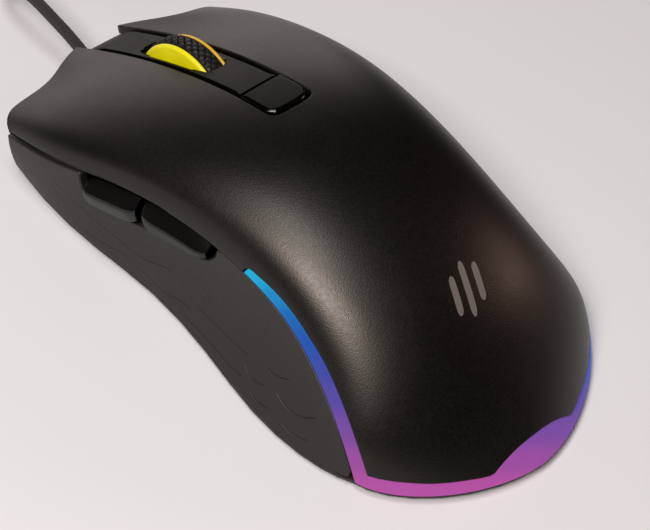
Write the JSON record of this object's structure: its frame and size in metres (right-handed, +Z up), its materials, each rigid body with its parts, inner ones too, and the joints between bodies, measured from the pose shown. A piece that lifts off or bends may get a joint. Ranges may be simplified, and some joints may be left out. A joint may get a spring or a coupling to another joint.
{
  "type": "computer mouse",
  "caption": "Wired right-handed computer mouse: humped case with two flexing keys, lit scroll wheel, centre button, thumb buttons, glowing tail band and USB cable.",
  "frame": {"origin": "middle of the case's length and width, on the desk plane, on the underside of the foot round the sensor", "axes": "+X to the mouse's right, +Y towards the nose where the cable leaves, +Z up from the desk"},
  "size_m": [0.1051, 0.1744, 0.0384],
  "materials": {
    "shell": "fine leather grain, matte",
    "satin": "satin",
    "grip": "matte with contour grooves",
    "base": "matte",
    "guide": "milky, lit from inside",
    "lime": "bright, lit from inside",
    "tyre": "matte",
    "board": "solder mask",
    "chip": "matte",
    "nylon": "natural",
    "red": "gloss",
    "steel": "bright",
    "clear": "clear",
    "led": "milky",
    "skate": "slick",
    "braid": "woven"
  },
  "bodies": {
    "case": {"bottom_shell": "base", "top_cover": "shell", "centre_strip": "satin", "light_guide": "guide", "left_side_grip": "grip", "right_side_grip": "grip", "side_button_frame": "base", "encoder_housing": "chip", "main_board": "board", "side_board": "board", "left_key_switch": "chip", "right_key_switch": "chip", "wheel_press_switch": "chip", "dpi_switch": "chip", "forward_switch": "chip", "back_switch": "chip", "sensor_chip": "chip", "sensor_lens": "clear", "controller_chip": "chip", "capacitor": "steel", "cable_header": "nylon", "led_left": "led", "led_right": "led", "led_tail": "led", "led_wheel": "led", "front_left_foot": "skate", "front_right_foot": "skate", "sensor_foot": "skate", "rear_left_foot": "skate", "rear_right_foot": "skate", "front_left_screw": "steel", "front_right_screw": "steel", "rear_left_screw": "steel", "rear_right_screw": "steel", "board_left_screw": "steel", "board_right_screw": "steel", "usb_cable": "braid", "cable_sleeve": "base", "cable_loom": "braid", "plug_body": "satin", "plug_shell": "steel", "plug_tongue": "nylon"},
    "left_key": {"left_key": "shell"},
    "right_key": {"right_key": "shell"},
    "wheel_rocker": {"axle_bush": "nylon"},
    "wheel": {"wheel_hub": "lime", "wheel_tyre": "tyre", "encoder_rotor": "nylon"},
    "dpi_button": {"dpi_button": "satin"},
    "forward_button": {"forward_button": "satin"},
    "back_button": {"back_button": "satin"},
    "left_key_plunger": {"left_key_plunger": "red"},
    "right_key_plunger": {"right_key_plunger": "red"},
    "wheel_press_plunger": {"wheel_press_plunger": "red"},
    "dpi_plunger": {"dpi_plunger": "red"},
    "forward_plunger": {"forward_plunger": "red"},
    "back_plunger": {"back_plunger": "red"}
  },
  "joints": [
    {"name": "left_key_click", "type": "hinge", "parent": "case", "child": "left_key", "pos_m": [-0.015, 0.0107, 0.031], "axis": [-1, 0, 0], "range_deg": [0, 0.8]},
    {"name": "right_key_click", "type": "hinge", "parent": "case", "child": "right_key", "pos_m": [0.015, 0.0107, 0.031], "axis": [-1, 0, 0], "range_deg": [0, 0.8]},
    {"name": "wheel_press", "type": "hinge", "parent": "case", "child": "wheel_rocker", "pos_m": [-0.0119, 0.035, 0.0208], "axis": [0, 1, 0], "range_deg": [0, 1.2]},
    {"name": "wheel_spin", "type": "hinge", "parent": "wheel_rocker", "child": "wheel", "pos_m": [0, 0.035, 0.0208], "axis": [1, 0, 0], "continuous": true},
    {"name": "dpi_press", "type": "slide", "parent": "case", "child": "dpi_button", "axis": [0, -0.249, -0.9685], "range_m": [0, 0.0005]},
    {"name": "forward_press", "type": "slide", "parent": "case", "child": "forward_button", "axis": [1, 0, 0], "range_m": [0, 0.0005]},
    {"name": "back_press", "type": "slide", "parent": "case", "child": "back_button", "axis": [1, 0, 0], "range_m": [0, 0.0005]},
    {"name": "left_key_plunger_travel", "type": "slide", "parent": "case", "child": "left_key_plunger", "axis": [0, 0, -1], "range_m": [0, 0.00032]},
    {"name": "right_key_plunger_travel", "type": "slide", "parent": "case", "child": "right_key_plunger", "axis": [0, 0, -1], "range_m": [0, 0.00032]},
    {"name": "wheel_press_plunger_travel", "type": "slide", "parent": "case", "child": "wheel_press_plunger", "axis": [0, 0, -1], "range_m": [0, 0.00022]},
    {"name": "dpi_plunger_travel", "type": "slide", "parent": "case", "child": "dpi_plunger", "axis": [0, 0, -1], "range_m": [0, 0.00026]},
    {"name": "forward_plunger_travel", "type": "slide", "parent": "case", "child": "forward_plunger", "axis": [1, 0, 0], "range_m": [0, 0.00026]},
    {"name": "back_plunger_travel", "type": "slide", "parent": "case", "child": "back_plunger", "axis": [1, 0, 0], "range_m": [0, 0.00026]}
  ],
  "couplings": [
    {"joint": "left_key_plunger_travel", "follows": "left_key_click", "m_per_rad": 0.021486},
    {"joint": "right_key_plunger_travel", "follows": "right_key_click", "m_per_rad": 0.021486},
    {"joint": "wheel_press_plunger_travel", "follows": "wheel_press", "m_per_rad": 0.009549},
    {"joint": "dpi_plunger_travel", "follows": "dpi_press", "ratio": 0.5},
    {"joint": "forward_plunger_travel", "follows": "forward_press", "ratio": 0.5},
    {"joint": "back_plunger_travel", "follows": "back_press", "ratio": 0.5}
  ]
}
